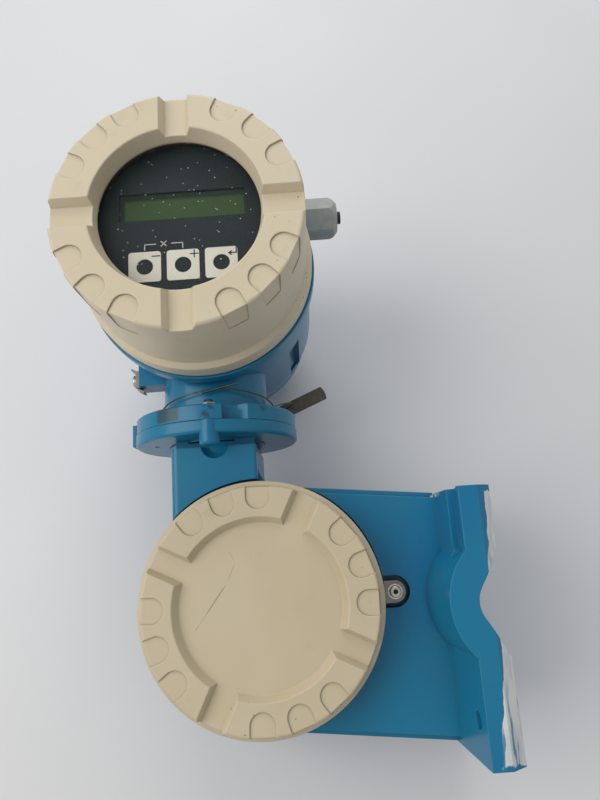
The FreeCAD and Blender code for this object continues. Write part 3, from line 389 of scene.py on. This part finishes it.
LOOK = {
    "housing_paint": enamel("housing_paint", DEEP, TEAL, worn_plate=True),
    "ring_paint": enamel("ring_paint", DEEP, TEAL, stains=[
        ((neck_x - 0.0296, neck_x - 0.0156), (ring_lo.z + 0.0010, ring_lo.z + 0.0095), 75.0, 0.40),
        ((neck_x - 0.0026, neck_x + 0.0054), (ring_lo.z + 0.0015, ring_lo.z + 0.0085), 260.0, 0.50),
        ((neck_x + 0.0314, neck_x + 0.0344), (ring_lo.z + 0.0055, ring_lo.z + 0.0085), 200.0, 0.40),
    ]),
    "rear_cover_paint": enamel("rear_cover_paint", (0.006, 0.145, 0.285), (0.010, 0.170, 0.295)),
    "seal_rubber": plain("seal_rubber", (0.012, 0.012, 0.012), (0.03, 0.03, 0.03), 0.7),
    "window_glass": window(),
    "snap_ring": steel("snap_ring", (0.05, 0.055, 0.06), 0.45),
    "display_fascia": plain("display_fascia", (0.012, 0.017, 0.020), (0.015, 0.021, 0.024), 0.5,
                            scale=60.0, spec=0.22, grain=0.00001),
    "lcd_glass": lcd(),
    "key_field": plain("key_field", (0.76, 0.73, 0.61), (0.80, 0.77, 0.65), 0.5),
    "key_eye": plain("key_eye", (0.004, 0.005, 0.006), (0.008, 0.010, 0.012), 0.12),
    "electronics_case": plain("electronics_case", (0.02, 0.02, 0.022), (0.035, 0.035, 0.037), 0.6),
    "terminal_plastic": plain("terminal_plastic", (0.22, 0.25, 0.24), (0.27, 0.29, 0.28), 0.5),
    "claw_steel": steel("claw_steel", (0.20, 0.19, 0.17), 0.33, grain=(1, 1, 6)),
    "screw_steel": steel("screw_steel", (0.52, 0.51, 0.47), 0.26, painted_shade=socket_shade),
    "gland_plastic": plain("gland_plastic", (0.33, 0.345, 0.325), (0.39, 0.405, 0.38), 0.38),
    "plug_rubber": plain("plug_rubber", (0.010, 0.010, 0.010), (0.02, 0.02, 0.02), 0.6),
    "tag_metal": steel("tag_metal", (0.085, 0.080, 0.066), 0.5, dark=0.6),
    "wire_steel": steel("wire_steel", (0.12, 0.12, 0.115), 0.42),
}
DISPLAY_BEIGE = beige("cover_paint", (0.630, 0.540, 0.380), (0.665, 0.575, 0.415), [
    ((display_hi.x - 0.020, display_hi.x), (display_z - 0.0363, display_z + 0.0117), 0.50),
    ((display_lo.x, display_lo.x + 0.010), (display_z - 0.0313, display_z + 0.0337), 0.35),
    ((display_hi.x - 0.050, display_hi.x - 0.010), (display_hi.z - 0.022, display_hi.z), 0.25),
])
LOWER_BEIGE = beige("cover_paint_lower", (0.560, 0.470, 0.315), (0.600, 0.510, 0.350), [
    ((lower_hi.x - 0.012, lower_hi.x), (lower_z - 0.0174, lower_z + 0.0426), 0.3),
    ((lower_lo.x + 0.040, lower_lo.x + 0.110), (lower_lo.z, lower_lo.z + 0.022), 0.25),
], scratch=[
    ((lower_x - 0.0366, lower_z - 0.0116), (lower_x - 0.0180, lower_z + 0.0128), 0.00017, 0.8),
    ((lower_x - 0.0180, lower_z + 0.0128), (lower_x - 0.0126, lower_z + 0.0240), 0.00013, 0.5),
    ((lower_x - 0.0126, lower_z + 0.0240), (lower_x - 0.0173, lower_z + 0.0313), 0.00013, 0.4),
])

for part in frame["record"]["subparts"]:
    obj = nodes[part["node"]]
    look = LOOK.get(part["material_slot"], DISPLAY_BEIGE)
    if part["node"] == "connection_cover":
        look = LOWER_BEIGE
    if not obj.data.materials:
        obj.data.materials.append(look)
    for s in obj.material_slots:
        s.material = look


# ---- printed signs on the display ----
def mesh_piece(name, verts, faces, look, body):
    me = bpy.data.meshes.new(name)
    me.from_pydata([tuple(v) for v in verts], [], faces)
    me.materials.append(look)
    ob = bpy.data.objects.new(name, me)
    bpy.context.scene.collection.objects.link(ob)
    bm = bmesh.new()
    bm.from_mesh(me)
    bmesh.ops.recalc_face_normals(bm, faces=bm.faces)
    bm.to_mesh(me)
    bm.free()
    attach(ob, body)


PRINT_T = 0.00005
SIGN_W, BRACKET_W = 0.00065, 0.00045


def strokes(name, runs, width, y_face, look, body):
    """Printed lines: runs of (x, z) points, laid as a thin raised film on a face that looks along -Y."""
    verts, faces = [], []
    for run in runs:
        for (x0, z0), (x1, z1) in zip(run, run[1:]):
            d = Vector((x1 - x0, z1 - z0))
            d.normalize()
            n = Vector((-d.y, d.x)) * width / 2
            e = d * width / 2
            a, b = Vector((x0, z0)) - e, Vector((x1, z1)) + e
            ring = [a + n, b + n, b - n, a - n]
            k = len(verts)
            for y in (y_face, y_face - PRINT_T):
                verts += [Vector((q.x, y, q.y)) for q in ring]
            faces += [(k + 4, k + 5, k + 6, k + 7)]
            faces += [(k + i, k + (i + 1) % 4, k + 4 + (i + 1) % 4, k + 4 + i) for i in range(4)]
    mesh_piece(name, verts, faces, look, body)


print_white = plain("print_white", (0.62, 0.61, 0.57), (0.68, 0.67, 0.63), 0.5)
print_dark = plain("print_dark", (0.015, 0.017, 0.02), (0.025, 0.027, 0.03), 0.5)

keys_lo, keys_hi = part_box("key_fields")
key_h = keys_hi.z - keys_lo.z
key_top = keys_hi.z
key_face = keys_lo.y
plate_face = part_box("display_module")[0].y
mid_x = (keys_lo.x + keys_hi.x) / 2
pitch = (keys_hi.x - keys_lo.x - key_h) / 2
arm = key_h * 0.115

# minus, plus and return marks at the upper right corner of each key field
signs = []
for k in (-1, 0, 1):
    cx, cz = mid_x + k * pitch + key_h * 0.35, key_top - key_h * 0.16
    if k < 1:
        signs.append([(cx - arm, cz), (cx + arm, cz)])
    if k == 0:
        signs.append([(cx, cz - arm), (cx, cz + arm)])
    if k == 1:
        signs.append([(cx + arm, cz + arm), (cx + arm, cz - arm * 0.5), (cx - arm, cz - arm * 0.5)])
        signs.append([(cx - arm * 0.3, cz), (cx - arm, cz - arm * 0.5), (cx - arm * 0.3, cz - arm)])
strokes("key_signs", signs, SIGN_W, key_face, print_dark, "display")

# bracket that joins the first two keys, broken by a cross for cancel
left_x, right_x = mid_x - pitch, mid_x
base_z, top_z = key_top + 0.0012, key_top + 0.0042
gap = 0.0042
cross_x, cross_r = (left_x + right_x) / 2, 0.0013
bracket = [
    [(left_x, base_z), (left_x, top_z), (cross_x - gap, top_z)],
    [(cross_x + gap, top_z), (right_x, top_z), (right_x, base_z)],
    [(cross_x - cross_r, top_z - cross_r), (cross_x + cross_r, top_z + cross_r)],
    [(cross_x - cross_r, top_z + cross_r), (cross_x + cross_r, top_z - cross_r)],
]
strokes("key_bracket", bracket, BRACKET_W, plate_face, print_white, "display")


# ---- board ----
BOARD_HALF = 3.0
BOARD_LOW, BOARD_HIGH = Vector((0.0, 0.067, -0.0645)), Vector((0.0, 0.102, 0.1565))


def board_material():
    """Pale board, seen only from its front, so that views from the back show the object."""
    m = Mat("board", rough=0.6, spec=0.25)
    m.colour(m.mix(m.ramp(m.noise(3.0, 2.0), 0.3, 0.7), (0.70, 0.70, 0.71), (0.73, 0.73, 0.735)))
    clear = m.t.nodes.new("ShaderNodeBsdfTransparent")
    mix = m.t.nodes.new("ShaderNodeMixShader")
    m.t.links.new(m.geo.outputs["Backfacing"], mix.inputs[0])
    m.t.links.new(m.p.outputs[0], mix.inputs[1])
    m.t.links.new(clear.outputs[0], mix.inputs[2])
    m.t.links.new(mix.outputs[0], m.t.nodes["Material Output"].inputs["Surface"])
    return m.m


# the board stands behind the object and leans, as the object lies on it in the photo
up_board = (BOARD_HIGH - BOARD_LOW).normalized()
towards_object = Vector((0.0, -up_board.z, up_board.y))
centre = (BOARD_LOW + BOARD_HIGH) / 2
corners = [(a * BOARD_HALF, b * BOARD_HALF) for a, b in ((-1, -1), (1, -1), (1, 1), (-1, 1))]
me = bpy.data.meshes.new("board")
me.from_pydata([tuple(centre + Vector((a, 0, 0)) + up_board * b) for a, b in corners], [], [(0, 1, 2, 3)])
me.materials.append(board_material())
board = bpy.data.objects.new("board", me)
bpy.context.scene.collection.objects.link(board)
if me.polygons[0].normal.dot(towards_object) < 0:
    me.flip_normals()


# ---- lights ----
def lamp(name, offset, size_m, watts, tint=(1, 1, 1)):
    """A soft round lamp at an offset from the middle of the object, aimed at that middle."""
    data = bpy.data.lights.new(name, "AREA")
    data.shape = "DISK"
    data.size = size_m
    data.energy = watts
    data.color = tint
    ob = bpy.data.objects.new(name, data)
    middle = (cad_lo + cad_hi) / 2
    ob.location = middle + Vector(offset)
    ob.rotation_euler = (middle - ob.location).to_track_quat("-Z", "Y").to_euler()
    bpy.context.scene.collection.objects.link(ob)


WARM, COOL = (1.0, 0.985, 0.96), (0.97, 0.985, 1.0)
lamp("key", (-1.05, -1.15, 0.10), size_m=1.4, watts=13.5, tint=WARM)
lamp("top", (0.10, -0.70, 1.30), size_m=1.1, watts=7.5, tint=COOL)
lamp("back", (0.3, 1.8, 0.9), size_m=1.6, watts=14.0)

# the world lights the object a little, and is paler where it is seen or mirrored
world = bpy.data.worlds.new("world")
world.use_nodes = True
bpy.context.scene.world = world
wt = world.node_tree
bg = wt.nodes["Background"]
bg.inputs["Color"].default_value = (0.80, 0.81, 0.83, 1.0)
bg.inputs["Strength"].default_value = 0.50
pale = wt.nodes.new("ShaderNodeBackground")
pale.inputs["Color"].default_value = (0.80, 0.80, 0.81, 1.0)
pale.inputs["Strength"].default_value = 0.8
path = wt.nodes.new("ShaderNodeLightPath")


def either(a, b):
    n = wt.nodes.new("ShaderNodeMath")
    n.operation = "MAXIMUM"
    wt.links.new(a, n.inputs[0])
    wt.links.new(b, n.inputs[1])
    return n.outputs[0]


mirrored = either(path.outputs["Is Glossy Ray"], path.outputs["Is Transmission Ray"])
seen = either(path.outputs["Is Camera Ray"], mirrored)
choose = wt.nodes.new("ShaderNodeMixShader")
wt.links.new(seen, choose.inputs[0])
wt.links.new(bg.outputs[0], choose.inputs[1])
wt.links.new(pale.outputs[0], choose.inputs[2])
wt.links.new(choose.outputs[0], wt.nodes["World Output"].inputs["Surface"])

# ---- camera, fitted to the photo ----
CAMERA_AT = (-0.09784, -0.39963, 0.04589)
ACROSS = Vector((0.99764, 0.01708, -0.06649))
UPWARD = Vector((0.06864, -0.23146, 0.97042))
AHEAD = Vector((-0.00119, 0.97270, 0.23209))

cam_data = bpy.data.cameras.new("camera")
cam_data.sensor_fit = "AUTO"
cam_data.sensor_width = 36.0
cam_data.lens = 28.06
cam = bpy.data.objects.new("camera", cam_data)
bpy.context.scene.collection.objects.link(cam)
turn = Matrix((ACROSS, UPWARD, -AHEAD)).transposed().to_4x4()
cam.matrix_world = Matrix.Translation(CAMERA_AT) @ turn
bpy.context.scene.camera = cam
bpy.context.scene.view_settings.view_transform = "Standard"
